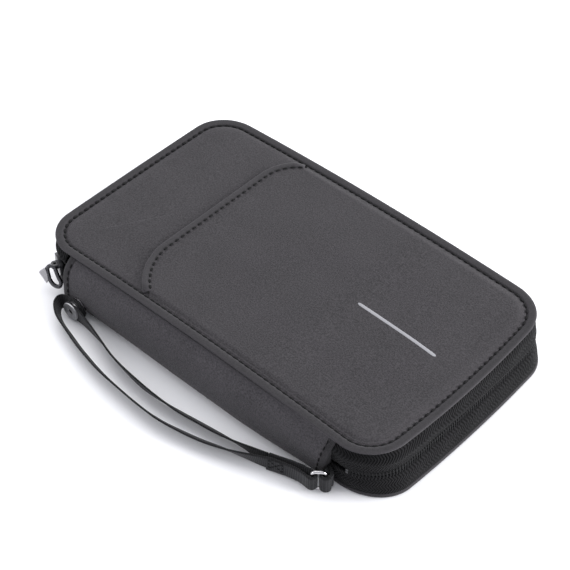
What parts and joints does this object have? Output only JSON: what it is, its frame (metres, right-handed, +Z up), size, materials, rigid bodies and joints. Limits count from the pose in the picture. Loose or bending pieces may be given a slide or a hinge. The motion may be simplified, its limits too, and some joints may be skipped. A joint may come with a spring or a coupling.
{
  "type": "zippered passport holder wallet",
  "caption": "Flat travel wallet with padded fabric covers, spine, zip closure, front slip pocket, inner passport sleeve and card slots, and a side wrist strap with a press stud.",
  "frame": {"origin": "middle of the cover's footprint on the underside of the back cover, which lies on the table", "axes": "+X along the long side towards the ring end of the spine, +Y from the spine to the opening side, +Z up through the thickness"},
  "size_m": [0.1976, 0.1456, 0.0273],
  "materials": {
    "cover_fabric": "dark grey woven polyester, fine grain",
    "binding_fabric": "dark grey woven edge binding with black stitching",
    "foam": "closed cell foam pad",
    "board": "stiffener board",
    "lining": "thin dark grey lining",
    "tape": "near-black herringbone zip tape",
    "coil": "black nylon coil",
    "black_metal": "black lacquered zinc",
    "ring_metal": "nickel plated steel wire",
    "webbing": "dark grey ribbed webbing with black edges",
    "snap_metal": "satin nickel press stud"
  },
  "bodies": {
    "back_cover": {"back_cover_panel": "cover_fabric", "back_edge_binding": "binding_fabric", "back_foam_pad": "foam", "back_stiffener_board": "board", "back_lining": "lining", "lower_zip_tape": "tape", "lower_zip_coil": "coil", "lower_zip_stop": "black_metal", "passport_sleeve": "lining", "passport_sleeve_binding": "binding_fabric"},
    "spine": {"spine_panel": "cover_fabric", "spine_foam_pad": "foam", "spine_stiffener": "board", "spine_lining": "lining", "spine_end_binding_left": "binding_fabric", "spine_end_binding_right": "binding_fabric", "strap_ring_tab": "webbing"},
    "front_cover": {"front_cover_panel": "cover_fabric", "front_edge_binding": "binding_fabric", "front_foam_pad": "foam", "front_stiffener_board": "board", "front_lining": "lining", "slip_pocket_panel": "cover_fabric", "slip_pocket_binding": "binding_fabric", "upper_zip_tape": "tape", "upper_zip_coil": "coil", "upper_zip_stop": "black_metal", "card_base_panel": "lining", "card_slot_panel_1": "lining", "card_slot_panel_2": "lining", "card_slot_panel_3": "lining"},
    "zip_slider_body": {"zip_slider": "black_metal"},
    "zip_pull_link_body": {"zip_pull_link": "ring_metal"},
    "zip_pull_tab_body": {"zip_pull_tab": "ring_metal"},
    "strap_ring_body": {"strap_ring": "ring_metal"},
    "wrist_strap": {"strap_outer_strand": "webbing", "snap_cap": "snap_metal", "snap_socket": "snap_metal"},
    "strap_inner": {"strap_inner_strand": "webbing", "snap_stud": "snap_metal", "snap_washer": "snap_metal"}
  },
  "joints": [
    {"name": "spine_fold", "type": "hinge", "parent": "back_cover", "child": "spine", "pos_m": [0, -0.0576, 0.0026], "axis": [1, 0, 0], "range_deg": [0, 90]},
    {"name": "cover_open", "type": "hinge", "parent": "spine", "child": "front_cover", "pos_m": [0, -0.0576, 0.0228], "axis": [1, 0, 0], "range_deg": [0, 90]},
    {"name": "zip_travel", "type": "hinge", "parent": "back_cover", "child": "zip_slider_body", "pos_m": [-0.07904, -0.0396, 0.0115], "axis": [0, 0, -1], "range_deg": [0, 62], "deforming": ["lower_zip_coil", "upper_zip_coil"]},
    {"name": "pull_link_swing", "type": "hinge", "parent": "zip_slider_body", "child": "zip_pull_link_body", "pos_m": [-0.08864, -0.05844, 0.0115], "axis": [0, 0, 1], "range_deg": [-60, 60]},
    {"name": "pull_tab_swing", "type": "hinge", "parent": "zip_pull_link_body", "child": "zip_pull_tab_body", "pos_m": [-0.09046, -0.06201, 0.0115], "axis": [0, 0, 1], "range_deg": [-50, 50]},
    {"name": "ring_swing", "type": "hinge", "parent": "spine", "child": "strap_ring_body", "pos_m": [0.07727, -0.06354, 0.0059], "axis": [0, 0, 1], "range_deg": [0, 60]},
    {"name": "strap_swing", "type": "hinge", "parent": "strap_ring_body", "child": "wrist_strap", "pos_m": [0.07301, -0.06718, 0.0059], "axis": [0, 0, 1], "range_deg": [0, 120]},
    {"name": "snap_open", "type": "hinge", "parent": "wrist_strap", "child": "strap_inner", "pos_m": [0.052, -0.0672, 0.0052], "axis": [0, 0, 1], "range_deg": [0, 1]}
  ],
  "couplings": [
    {"joint": "cover_open", "follows": "spine_fold", "ratio": 1}
  ]
}
